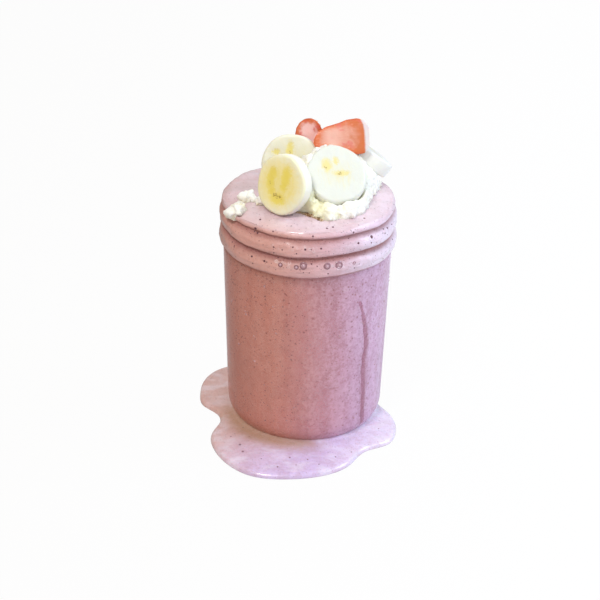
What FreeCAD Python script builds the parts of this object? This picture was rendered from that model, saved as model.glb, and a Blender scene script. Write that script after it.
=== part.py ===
import FreeCAD, Part
import math
import os
import Sketcher

# A milkshake in its glass jar.  The origin is on the axis of the jar, in the plane of its foot;
# +Z is up and -Y is the front.  All lengths are millimetres.

SIZES = (
    ("jar_height", 118.5, "foot to rim"),
    ("neck_radius", 39.8, "outside of the neck"),
    ("body_radius", 41.0, "outside of the body, below the shoulder"),
    ("base_radius", 39.3, "outside of the body, above the heel"),
    ("glass_wall", 2.6, "wall of the body and the neck"),
    ("glass_floor", 3.0, "glass in the middle of the floor"),
    ("heel_radius", 11.0, "rounding between the body and the foot"),
    ("foot_width", 2.6, "flat ring that the jar stands on"),
    ("push_up", 2.0, "hollow under the floor"),
    ("shoulder_drop", 21.5, "rim down to the top of the shoulder"),
    ("shoulder_height", 3.5, "body to neck"),
    ("bead_drop", 17.0, "rim down to the crest of the bead"),
    ("bead_height", 5.2, "bead, along the neck"),
    ("bead_rise", 1.8, "bead, out of the neck"),
    ("thread_drop", 7.0, "rim down to the crest of the thread"),
    ("thread_height", 4.2, "thread, along the neck"),
    ("thread_rise", 1.7, "thread, out of the neck"),
    ("coat", 1.3, "milkshake on the crests of the neck"),
    ("groove_coat", 1.5, "milkshake in the groove under the rim"),
    ("waist_coat", 2.2, "milkshake in the groove between the rolls"),
    ("lip_drop", 23.1, "rim down to the lower edge of the overflow"),
    ("crown_rise", 4.0, "middle of the milkshake over the rim"),
    ("puddle_thickness", 2.6, "spilt milkshake round the foot"),
    ("puddle_width", 36.7, "foot to the farthest edge of the spill"),
    ("puddle_round", 2.0, "rounded edge of the spill"),
    ("slice_radius", 13.4, "banana slices"),
    ("slice_thickness", 7.5, "banana slices"),
    ("slice_round", 1.1, "soft edge of a banana slice"),
    ("berry_length", 22.0, "large strawberry half"),
    ("berry_radius", 8.0, "large strawberry half"),
    ("small_berry_length", 17.0, "small strawberry half"),
    ("small_berry_radius", 6.8, "small strawberry half"),
    ("cream_length", 27.0, "half of the whipped cream, left to right"),
    ("cream_depth", 20.0, "half of the whipped cream, front to back"),
    ("cream_height", 25.5, "whipped cream over the rim"),
    ("dab_radius", 4.2, "small dabs of cream"),
)

document = FreeCAD.newDocument("milkshake")
sheet = document.addObject("Spreadsheet::Sheet", "dims")
sheet.Label = "driving dimensions"
for row, (alias, number, note) in enumerate(SIZES, start=1):
    sheet.set(f"A{row}", alias)
    sheet.set(f"B{row}", str(number))
    sheet.setAlias(f"B{row}", alias)
    sheet.set(f"C{row}", note)
document.recompute()


class Term:
    """A length: the expression that binds it to the sheet, and its value now."""

    def __init__(self, text, value):
        self.text = text
        self.value = value

    def join(self, sign, other, value):
        return Term(f"({self.text} {sign} {term(other).text})", value)

    def __add__(self, other):
        return self.join("+", other, self.value + term(other).value)

    def __sub__(self, other):
        return self.join("-", other, self.value - term(other).value)

    def __mul__(self, other):
        return self.join("*", other, self.value * term(other).value)

    def __truediv__(self, other):
        return self.join("/", other, self.value / term(other).value)


def term(number):
    """A plain number as a Term; a Term stays as it is."""
    if isinstance(number, Term):
        return number
    return Term(repr(number), float(number))


def size(alias):
    """A driving dimension as a Term."""
    return Term(f"dims.{alias}", float(sheet.get(alias)))


def arc_radius(chord, bulge):
    """Radius of an arc that rises by bulge over its chord."""
    return (chord * chord / 4 + bulge * bulge) / (bulge * 2)


jar_height = size("jar_height")
neck = size("neck_radius")
wall = size("glass_wall")
heel = size("heel_radius")
heel_centre = size("base_radius") - heel
foot_outer = heel_centre + 3.3
foot_inner = foot_outer - size("foot_width")
heel_top = Term(f"sqrt({(heel * heel).text} - 3.3 * 3.3)", math.sqrt(heel.value ** 2 - 3.3 ** 2))
floor_top = size("push_up") + size("glass_floor")
shoulder_top = jar_height - size("shoulder_drop")
shoulder_bottom = shoulder_top - size("shoulder_height")
shoulder_step = size("body_radius") - neck
shoulder_radius = (shoulder_step * shoulder_step
                   + size("shoulder_height") * size("shoulder_height")) / (shoulder_step * 2)
bead_crest = jar_height - size("bead_drop")
thread_crest = jar_height - size("thread_drop")


def make_body(name, label):
    body = document.addObject("PartDesign::Body", name)
    body.Label = label
    return body


def make_sketch(body, name, role):
    """A sketch on one of the body's own origin planes."""
    plane = next(feature for feature in body.Origin.OriginFeatures if feature.Role == role)
    sketch = body.newObject("Sketcher::SketchObject", name)
    sketch.AttachmentSupport = [(plane, "")]
    sketch.MapMode = "FlatFace"
    return sketch


def bind(item, prop, length):
    item.setExpression(prop, term(length).text)


def arc_centre(start, end, radius, side):
    """Centre of the short arc from start to end; side is 1 when it turns to the left."""
    across = end - start
    half = across.Length / 2
    reach = math.sqrt(max(radius * radius - half * half, 0))
    left = FreeCAD.Vector(-across.y, across.x, 0).normalize()
    return (start + end) / 2 + left * (reach * side)


def close_outline(sketch, corners):
    """Draw a closed outline and bind each corner.

    A corner is (across, up) for a straight line to the next corner, or (across, up, radius, side)
    for an arc to it.  Every corner is held by its two distances from the origin.
    """
    points = [FreeCAD.Vector(term(c[0]).value, term(c[1]).value, 0) for c in corners]
    starts = []
    for number, corner in enumerate(corners):
        start = points[number]
        end = points[(number + 1) % len(points)]
        if len(corner) == 2:
            sketch.addGeometry(Part.LineSegment(start, end))
            starts.append((1, 2))
            continue
        radius = term(corner[2]).value
        centre = arc_centre(start, end, radius, corner[3])
        angles = [math.atan2(p.y - centre.y, p.x - centre.x) for p in (start, end)]
        if corner[3] < 0:
            angles.reverse()
        if angles[1] < angles[0]:
            angles[1] += 2 * math.pi
        circle = Part.Circle(centre, FreeCAD.Vector(0, 0, 1), radius)
        sketch.addGeometry(Part.ArcOfCircle(circle, angles[0], angles[1]))
        starts.append((1, 2) if corner[3] > 0 else (2, 1))
    for number, corner in enumerate(corners):
        following = (number + 1) % len(corners)
        sketch.addConstraint(Sketcher.Constraint(
            "Coincident", number, starts[number][1], following, starts[following][0]))
        for kind, axis, length in (("DistanceX", -2, corner[0]), ("DistanceY", -1, corner[1])):
            if abs(term(length).value) < 1e-9:
                sketch.addConstraint(Sketcher.Constraint(
                    "PointOnObject", number, starts[number][0], axis))
                continue
            index = sketch.addConstraint(Sketcher.Constraint(
                kind, -1, 1, number, starts[number][0], term(length).value))
            bind(sketch, f"Constraints[{index}]", length)
        if len(corner) == 4:
            index = sketch.addConstraint(Sketcher.Constraint("Radius", number, term(corner[2]).value))
            bind(sketch, f"Constraints[{index}]", corner[2])


def revolve(body, sketch, degrees=360):
    feature = body.newObject("PartDesign::Revolution", f"{body.Name}_turn")
    feature.Profile = sketch
    feature.ReferenceAxis = (sketch, ["V_Axis"])
    feature.Angle = degrees
    return feature


def place(item, x, y, z, turn=None):
    """Put an item at x, y, z, with turn as its rotation."""
    item.Placement = FreeCAD.Placement(FreeCAD.Vector(0, 0, 0), turn or FreeCAD.Rotation())
    for axis, length in (("x", x), ("y", y), ("z", z)):
        bind(item, f"Placement.Base.{axis}", length)


def cut(name, label, base, tool):
    item = document.addObject("Part::Cut", name)
    item.Base = base
    item.Tool = tool
    item.Label = label
    return item


def gather(name, items):
    item = document.addObject("Part::Compound", name)
    item.Links = items
    return item


def make_jar():
    """Hollow glass with a rounded heel, a shoulder, a bead and a thread ridge."""
    body = make_body("jar", "jar")
    sketch = make_sketch(body, "jar_outline", "XZ_Plane")
    inside = neck - wall
    bead_low = bead_crest - size("bead_height") / 2
    bead_top = bead_crest + size("bead_height") / 2
    thread_low = thread_crest - size("thread_height") / 2
    thread_top = thread_crest + size("thread_height") / 2
    rim = wall / 2
    close_outline(sketch, (
        (foot_inner, 0),
        (foot_outer, 0, heel, 1),
        (size("base_radius"), heel_top),
        (size("body_radius"), shoulder_bottom, shoulder_radius, 1),
        (neck, shoulder_top),
        (neck, bead_low, arc_radius(size("bead_height"), size("bead_rise")), 1),
        (neck, bead_top),
        (neck, thread_low, arc_radius(size("thread_height"), size("thread_rise")), 1),
        (neck, thread_top),
        (neck, jar_height - rim, wall * 0.52, 1),
        (inside, jar_height - rim),
        (inside, shoulder_top),
        (size("body_radius") - wall, shoulder_bottom),
        (size("base_radius") - wall, heel_top, heel - wall, -1),
        (heel_centre, heel_top - heel + wall),
        (0, floor_top),
        (0, size("push_up")),
    ))
    revolve(body, sketch)
    return body


def make_filling():
    """Milkshake turned as one solid: what fills the jar, the crown and the rolls over the neck."""
    body = make_body("filling", "filling")
    sketch = make_sketch(body, "filling_outline", "XZ_Plane")
    middle = wall / 2
    lip = jar_height - size("lip_drop")
    waist_height = (bead_crest + thread_crest) / 2
    waist = neck + size("waist_coat")
    groove = neck + size("groove_coat")
    groove_height = thread_crest + size("thread_height")
    lower_crest = neck + size("bead_rise") + size("coat")
    upper_crest = neck + size("thread_rise") + size("coat")
    edge = neck - 0.5
    edge_height = jar_height + 1.2
    crown = jar_height + size("crown_rise")
    roll_chord = edge_height - groove_height
    close_outline(sketch, (
        (0, floor_top - middle),
        (heel_centre, heel_top - heel + middle, heel - middle, 1),
        (size("base_radius") - middle, heel_top),
        (size("body_radius") - middle, shoulder_bottom),
        (neck - middle, lip),
        (waist - 0.6, lip),
        (waist, lip + 0.9, arc_radius(waist_height - lip - 0.9, lower_crest - waist), 1),
        (waist, waist_height, arc_radius(groove_height - waist_height,
                                         upper_crest - (waist + groove) / 2), 1),
        (groove, groove_height, arc_radius(roll_chord * 1.12, roll_chord * 0.34), 1),
        (edge, edge_height, arc_radius(edge * 2, crown - edge_height), 1),
        (0, crown),
    ))
    revolve(body, sketch)
    return body


def facing(x, y, z):
    """Rotation that turns +Z to the given direction."""
    return FreeCAD.Rotation(FreeCAD.Vector(0, 0, 1), FreeCAD.Vector(x, y, z))


def make_slice(name, x, y, z, normal, share=1.0):
    """Banana slice with its shown face at x, y, z, looking along normal."""
    body = make_body(name, name)
    sketch = make_sketch(body, f"{name}_round", "XY_Plane")
    radius = size("slice_radius") * share
    sketch.addGeometry(Part.Circle(FreeCAD.Vector(0, 0, 0), FreeCAD.Vector(0, 0, 1), radius.value))
    sketch.addConstraint(Sketcher.Constraint("Coincident", 0, 3, -1, 1))
    index = sketch.addConstraint(Sketcher.Constraint("Radius", 0, radius.value))
    bind(sketch, f"Constraints[{index}]", radius)
    pad = body.newObject("PartDesign::Pad", f"{name}_pad")
    pad.Profile = sketch
    pad.Reversed = True
    bind(pad, "Length", size("slice_thickness"))
    document.recompute()
    rounding = body.newObject("PartDesign::Fillet", f"{name}_rounding")
    rims = [f"Edge{number}" for number, edge in enumerate(pad.Shape.Edges, start=1)
            if isinstance(edge.Curve, Part.Circle)]
    rounding.Base = (pad, rims)
    bind(rounding, "Radius", size("slice_round"))
    place(body, x, y, z, facing(*normal))
    return body


def make_berry(name, length, radius, blunt, x, y, z, tip, face):
    """Half strawberry with its cut face towards face and its tip towards tip.

    blunt is the share of its radius that is left where the tip starts to round over.
    """
    body = make_body(name, name)
    sketch = make_sketch(body, f"{name}_outline", "XZ_Plane")
    widest = length * 0.36
    taper = length * 0.9
    close_outline(sketch, (
        (0, 0),
        (radius * 0.5, 0, radius * 0.72, 1),
        (radius, widest, length * 1.05, 1),
        (radius * blunt, taper, radius * (blunt + 0.1), 1),
        (0, length),
    ))
    revolve(body, sketch, 180)
    up = FreeCAD.Vector(*tip).normalize()
    front = FreeCAD.Vector(*face)
    front = (front - up * front.dot(up)).normalize()
    place(body, x, y, z, FreeCAD.Rotation(up.cross(front * -1) * -1, front * -1, up, "ZXY"))
    return body


def make_blob(name, x, y, z, across, deep, tall):
    """Ellipsoid with its three half-sizes along X, Y and Z."""
    blob = document.addObject("Part::Ellipsoid", name)
    bind(blob, "Radius2", across)
    bind(blob, "Radius3", deep)
    bind(blob, "Radius1", tall)
    place(blob, x, y, z)
    return blob


def make_cream(fruit):
    """Whipped cream heaped on the crown, cut round the fruit that lies in it."""
    rise = size("cream_height")
    blobs = [make_blob("cream_heap", 8.0, 8.0, jar_height - 0.5,
                       size("cream_length"), size("cream_depth"), rise)]
    lobes = (
        (-1.0, -22.0, 6.0), (8.5, -24.5, 6.5), (18.5, -20.0, 7.5), (27.5, -12.0, 8.5),
        (26.0, 1.0, 11.5), (2.0, -14.5, 8.5), (-14.0, 2.0, 9.0),
    )
    for number, (x, y, radius) in enumerate(lobes, start=1):
        lobe = document.addObject("Part::Sphere", f"cream_lobe_{number}")
        bind(lobe, "Radius", rise * (radius / 25.5))
        place(lobe, x, y, jar_height + 1.5)
        blobs.append(lobe)
    heap = document.addObject("Part::MultiFuse", "cream_whole")
    heap.Shapes = blobs
    below = document.addObject("Part::Cylinder", "cream_below")
    bind(below, "Radius", size("cream_length") * 3)
    bind(below, "Height", rise * 2)
    place(below, 0, 0, jar_height + 0.6 - rise * 2)
    level = cut("cream_level", "cream_level", heap, below)
    return cut("whipped_cream", "whipped_cream", level, gather("cream_fruit", fruit))


def make_dabs(collar, heap):
    """Three small dabs of cream on the left of the crown: flat below, and cut round the heap."""
    spots = (
        ("cream_dab_1", 191.5, 12.8, 2.6, 0.95),
        ("cream_dab_2", 209.8, 2.6, 2.0, 1.2),
        ("cream_dab_3", 209.0, 16.6, 2.8, 0.9),
    )
    over_rim = 0.3
    dabs = []
    for name, degrees, inset, lift, share in spots:
        away = collar - inset
        angle = math.radians(degrees)
        radius = size("dab_radius") * share
        ball = document.addObject("Part::Sphere", f"{name}_whole")
        bind(ball, "Radius", radius)
        ball.setExpression("Angle1", f"-asin({lift - over_rim:.2f} / {radius.text})")
        place(ball, away * math.cos(angle), away * math.sin(angle), jar_height + lift)
        dabs.append(cut(name, name, ball, heap))
    return dabs


def make_puddle(jar):
    """Spilt milkshake lying round the foot, with lobes to the left, the front and the right."""
    outline = (
        (3, 0.16), (354, 0.29), (345, 0.44), (333, 0.57), (321, 0.63), (307, 0.545), (293, 0.72),
        (277, 0.87), (263, 0.945), (249, 1.00), (237, 0.935), (224, 0.80), (213, 0.63), (205, 0.42),
        (197, 0.37), (190, 0.44), (183, 0.57), (172, 0.645), (160, 0.70), (149, 0.69), (138, 0.59),
        (122, 0.39), (100, 0.26), (70, 0.22), (38, 0.20),
    )
    width = float(sheet.get("puddle_width"))
    thickness = float(sheet.get("puddle_thickness"))
    points = []
    for degrees, share in outline:
        angle = math.radians(degrees)
        away = foot_outer.value + width * share
        points.append(FreeCAD.Vector(math.cos(angle), math.sin(angle), 0) * away)
    curve = Part.BSplineCurve()
    curve.interpolate(Points=points, PeriodicFlag=True)
    slab = Part.Face(Part.Wire(curve.toShape())).extrude(FreeCAD.Vector(0, 0, thickness))
    rim = [edge for edge in slab.Edges if edge.BoundBox.ZMin > thickness / 2]
    slab = slab.makeFillet(float(sheet.get("puddle_round")), rim)
    spill = document.addObject("Part::Feature", "spill")
    spill.Shape = slab
    hole = document.addObject("Part::Cylinder", "spill_hole")
    bind(hole, "Radius", foot_outer)
    bind(hole, "Height", size("puddle_thickness") * 2)
    ring = cut("spill_ring", "spill_ring", spill, hole)
    return cut("puddle", "puddle", ring, jar)


jar = make_jar()
slice_radius = size("slice_radius")
seat = jar_height + slice_radius * 0.96
perch = jar_height + slice_radius * 2.6 - 12.9
behind = slice_radius * 0.6
fruit = [
    make_slice("banana_slice_front", slice_radius * -0.87, -24.5, seat + 4.3,
               (-0.50, -0.82, 0.27)),
    make_slice("banana_slice_back", slice_radius * -0.66, behind - 7.6, seat + 4.2,
               (-0.10, -0.90, 0.42), 1.06),
    make_slice("banana_slice_right", slice_radius, -12.6, seat + 4.4,
               (0.12, -0.62, 0.77), 1.07),
    make_slice("banana_slice_rear", 30.0, slice_radius + size("berry_radius") - 1.8, seat + 4.6,
               (0.59, 0.22, 0.785)),
    make_berry("strawberry_left", size("small_berry_length"), size("small_berry_radius"), 0.66,
               0.7, behind + 4.8, perch - 4.0, (-0.17, 0.0, 1.0), (-0.1, -0.95, 0.3)),
    make_berry("strawberry_right", size("berry_length"), size("berry_radius"), 0.42,
               26.0, 4.9, perch + size("berry_radius"), (-1.0, -0.04, -0.05), (0.05, -0.9, 0.43)),
]
collar = neck + size("thread_rise") + size("coat")
cream = make_cream(fruit)
dabs = make_dabs(collar, cream)
puddle = make_puddle(jar)
filling = make_filling()
milkshake = cut("milkshake", "milkshake", filling, gather("in_filling", [jar, cream] + dabs + fruit))
pieces = [jar, milkshake, puddle, cream] + dabs + fruit

document.recompute()
for item in document.Objects:
    if "Invalid" in item.State or "Error" in item.State:
        raise RuntimeError(f"{item.Name} failed: {item.State}")
for piece in pieces:
    if piece.Shape.isNull() or not piece.Shape.isValid() or len(piece.Shape.Solids) != 1:
        raise RuntimeError(f"{piece.Label} is not one sound solid: {len(piece.Shape.Solids)}")

os.makedirs("parts", exist_ok=True)
for piece in pieces:
    piece.Shape.exportStep(f"parts/{piece.Label}.step")
    box = piece.Shape.BoundBox
    print(f"{piece.Label}: {piece.Shape.Volume / 1000:.1f} ml, z {box.ZMin:.1f} to {box.ZMax:.1f}")
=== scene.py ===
"""Milkshake in a glass jar, dressed over its construction frame.

Every operator makes one piece, or one group of like pieces, in the frame's own metres.
"""

import math
import random

import bmesh
import bpy
from bpy.props import FloatProperty, FloatVectorProperty, IntProperty, PointerProperty
from mathutils import Matrix, Vector, noise
from mathutils.bvhtree import BVHTree


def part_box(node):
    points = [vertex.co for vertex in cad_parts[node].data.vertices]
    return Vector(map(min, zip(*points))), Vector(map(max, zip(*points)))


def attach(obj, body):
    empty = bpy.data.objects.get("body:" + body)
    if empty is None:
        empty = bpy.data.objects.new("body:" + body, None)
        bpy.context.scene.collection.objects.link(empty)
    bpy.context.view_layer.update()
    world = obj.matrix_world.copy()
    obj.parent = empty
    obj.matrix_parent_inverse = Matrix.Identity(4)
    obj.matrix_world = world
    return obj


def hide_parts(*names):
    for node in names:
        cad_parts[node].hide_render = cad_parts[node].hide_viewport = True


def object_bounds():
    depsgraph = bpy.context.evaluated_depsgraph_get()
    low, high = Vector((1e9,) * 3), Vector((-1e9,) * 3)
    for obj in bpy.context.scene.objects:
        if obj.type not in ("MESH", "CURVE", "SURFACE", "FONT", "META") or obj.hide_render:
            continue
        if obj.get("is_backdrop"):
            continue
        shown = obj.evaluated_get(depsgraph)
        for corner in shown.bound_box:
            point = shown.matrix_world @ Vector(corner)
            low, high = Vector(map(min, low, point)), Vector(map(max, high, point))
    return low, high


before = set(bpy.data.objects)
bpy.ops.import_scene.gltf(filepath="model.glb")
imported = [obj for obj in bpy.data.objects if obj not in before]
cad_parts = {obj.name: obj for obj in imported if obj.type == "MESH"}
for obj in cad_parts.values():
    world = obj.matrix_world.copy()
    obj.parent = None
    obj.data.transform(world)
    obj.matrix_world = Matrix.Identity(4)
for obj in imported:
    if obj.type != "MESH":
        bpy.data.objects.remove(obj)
CAD_LOW, CAD_HIGH = [tuple(corner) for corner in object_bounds()]

bl_info = {
    "name": "Milkshake in a jar",
    "version": (1, 0, 0),
    "blender": (4, 5, 0),
    "location": "View3D > Sidebar > Milkshake",
    "description": "Dresses a milkshake, its jar, its fruit and its spill",
    "category": "Object",
}

MM = 0.001
UP, DOWN = Vector((0, 0, 1)), Vector((0, 0, -1))
RAY_OUT, RAY_UP = 0.2, 0.3                # rays start this far from the axis, or above the floor
DABS = ("cream_dab_1", "cream_dab_2", "cream_dab_3")
HEAP_MIDDLE = Vector((7.0, -2.0, 0.0)) * MM

# Tones laid over the colours that a user may change.
# The lilac side tone is a painted cool light, and the brown edge tone a painted shade.
PAINTED_LILAC_LIGHT, PAINTED_EDGE_SHADE, MOTTLE = (0.87, 0.80, 0.94), (0.34, 0.155, 0.11), (0.74, 0.60, 0.56)
# The pale swirl is partly a swirl in the spill and partly a painted sheen.
PALE_GRAIN, PALE_SWIRL_AND_SHEEN = (0.92, 0.80, 0.84), (0.84, 0.80, 0.90)
# The wisps are partly painted light, shown only on the lit side; the shaded mist tone is a painted
# shade on the left that also darkens the random blotches.
BEADED, LIT_WISPS, MIST_SHADE_AND_MOTTLE = (0.90, 0.84, 0.88), (0.93, 0.84, 0.93), (0.57, 0.42, 0.40)
BERRY_BITS, CLEAR = (0.21, 0.065, 0.06), (0.99, 0.97, 0.97)
PIP, SLICE_EDGE = (0.30, 0.17, 0.03), (0.86, 0.85, 0.78)
BLOTS, LIGHT_SKIN = (0.72, 0.15, 0.12), (0.80, 0.20, 0.05)
PALE_MIDDLE, PALE_END = (0.86, 0.55, 0.46), (0.74, 0.68, 0.67)
FLOOR_WARM, FLOOR_COOL, FLOOR_GRAIN = (0.34, 0.28, 0.25), (0.84, 0.84, 0.86), (0.9, 0.9, 0.9)
WHITE = (1.0, 1.0, 1.0)


# ---------------------------------------------------------------- sizes and colours

def colour(name, description, value):
    """A colour property that is shown as a swatch."""
    return FloatVectorProperty(name=name, description=description, subtype="COLOR", size=3,
                               min=0.0, max=1.0, default=value)


def length(name, description, value, **limits):
    """A property in metres."""
    return FloatProperty(name=name, description=description, unit="LENGTH", default=value,
                         **limits)


def count(name, description, value):
    """A number of things."""
    return IntProperty(name=name, description=description, default=value, min=0)


class MilkshakeSizes(bpy.types.PropertyGroup):
    """Sizes that a user may change."""

    groove_depth: length("Groove depth", "Depth of the grooves between the rolls",
                         1.35 * MM, min=0.0, max=1.6 * MM)
    coat_waver: length("Coat waver", "How far the overflow's surface wanders in and out",
                       0.6 * MM, min=0.0)
    middle_rise: length("Middle rise", "Height of the milkshake's middle over its edge",
                        2.8 * MM, min=0.0)
    meniscus: length("Meniscus", "How far the spill climbs the foot of the jar",
                     1.0 * MM, min=0.0)
    cream_voxel: length("Cream voxel", "Fineness of the whipped cream's surface",
                        0.45 * MM, min=0.2 * MM)
    cream_ruffle: length("Cream ruffle", "Height of the peaks and folds in the cream",
                         1.3 * MM, min=0.0)
    run_width: length("Run width", "Width of the drop's track down the misted glass",
                      2.7 * MM, min=0.0)
    curds: count("Curds", "Small lumps along the foot of the cream", 130)
    droplets: count("Droplets", "Small beads of water on the misted glass", 240)
    specks: count("Specks", "Loose berry specks on the overflow", 240)


class MilkshakeColours(bpy.types.PropertyGroup):
    """Colours that a user may change."""

    shake: colour("Milkshake", "Overflow, where it is warmest", (0.67, 0.35, 0.29))
    # Painted cool light: the overflow's tone on its right side, where the cool light falls.
    shake_cool_light: colour("Milkshake, cool side", "Overflow, where it is coolest",
                       (0.72, 0.49, 0.60))
    # Partly pale froth, partly painted light: the top is painted paler and more lilac, as if lit
    # from above.
    froth: colour("Froth", "Pale froth on top of the milkshake", (0.74, 0.58, 0.63))
    # Painted shade: the darker milkshake in the grooves and under the lip.
    shake_shade: colour("Milkshake, hollows", "Milkshake in grooves", (0.31, 0.10, 0.085))
    shake_inside: colour("Milkshake, inside", "Milkshake behind glass, warm side",
                         (0.60, 0.21, 0.135))
    # Painted cool light: the tone of the milkshake behind the glass on its right side.
    shake_inside_cool_light: colour("Milkshake, inside, cool side", "Milkshake behind glass, cool side",
                              (0.66, 0.28, 0.41))
    spill: colour("Spill", "Thin milkshake round the foot, warm side", (0.69, 0.462, 0.43))
    # Painted cool light and reflection: the spill's tone on its right side.
    spill_cool_light: colour("Spill, cool side", "Thin milkshake round the foot, cool side",
                       (0.66, 0.53, 0.79))
    # Painted shade: the darker spill beside the jar, most at its front left.
    spill_shade: colour("Spill, by the jar", "Thin milkshake in the jar's shade",
                       (0.44, 0.25, 0.13))
    speck: colour("Speck", "Berry seeds and skins", (0.14, 0.045, 0.06))
    mist: colour("Mist", "Condensation on the glass, warm side", (0.81, 0.445, 0.365))
    # Painted cool light: the mist's tone on the right side of the jar.
    mist_cool_light: colour("Mist, cool side", "Condensation on the glass, cool side",
                      (0.84, 0.61, 0.88))
    cream: colour("Cream", "Whipped cream", (0.95, 0.935, 0.84))
    cream_shade: colour("Cream, folds", "Yellowish folds of the cream", (0.80, 0.76, 0.44))
    banana: colour("Banana", "Flesh of a slice", (0.85, 0.75, 0.34))
    banana_core: colour("Banana core", "Seed lobes of a slice", (0.80, 0.66, 0.11))
    banana_pale: colour("Banana, pale", "Flesh of a slice in full light", (0.72, 0.735, 0.66))
    berry_skin: colour("Strawberry skin", "Outside of a strawberry", (0.56, 0.10, 0.03))
    berry_flesh: colour("Strawberry flesh", "Cut face of a strawberry", (0.70, 0.175, 0.06))
    berry_core: colour("Strawberry core", "Pale middle of the cut face", (0.88, 0.50, 0.38))


class MilkshakeStage(bpy.types.PropertyGroup):
    """Camera and light."""

    distance: length("Distance", "Camera in front of the axis", 0.5752)
    height: length("Height", "Camera above the foot", 0.3727)
    aim_height: length("Aim height", "Point on the axis plane that the camera looks at", 0.0624)
    aim_side: length("Aim side", "How far to the left of the axis the camera looks", -0.0031)
    roll: FloatProperty(name="Roll", description="Tilt of the camera about its own axis",
                        subtype="ANGLE", default=math.radians(1.19))
    lens: FloatProperty(name="Lens", description="Focal length, in millimetres", default=78.5)
    key: FloatProperty(name="Key light", description="Cool light, right and above", default=0.62)
    fill: FloatProperty(name="Top light", description="Small light above", default=0.52)
    ambient: FloatProperty(name="Ambient", description="Strength of the world", default=0.78)
    warm: colour("Warm side", "Light from the left", (0.66, 0.56, 0.49))
    cool: colour("Cool side", "Light from the right", (0.96, 0.98, 1.0))


def sizes():
    return bpy.context.scene.milkshake_sizes


def colours():
    return bpy.context.scene.milkshake_colours


# ---------------------------------------------------------------- shader expressions

def maths(operation, reflected=False):
    """A method of Flow that adds one Math node."""
    def method(self, *others):
        values = (*others, self) if reflected else (self, *others)
        return self.sheet.node("ShaderNodeMath", {"operation": operation}, *values)
    return method


class Flow:
    """A socket that can be used in arithmetic; every operation adds its Math node."""

    __add__ = __radd__ = maths("ADD")
    __mul__ = __rmul__ = maths("MULTIPLY")
    __sub__, __rsub__ = maths("SUBTRACT"), maths("SUBTRACT", reflected=True)
    __truediv__, __rtruediv__ = maths("DIVIDE"), maths("DIVIDE", reflected=True)
    __pow__, __rpow__ = maths("POWER"), maths("POWER", reflected=True)
    __lt__, __gt__ = maths("LESS_THAN"), maths("GREATER_THAN")
    most, angle_from, cosine = maths("MAXIMUM"), maths("ARCTAN2"), maths("COSINE")

    def __init__(self, sheet, socket):
        self.sheet, self.socket = sheet, socket

    def between(self, low, high):
        """0 at low, 1 at high, smooth in between."""
        return self.sheet.node(
            "ShaderNodeMapRange", {"interpolation_type": "SMOOTHSTEP", "clamp": True},
            self, low, high, 0.0, 1.0)


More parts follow.
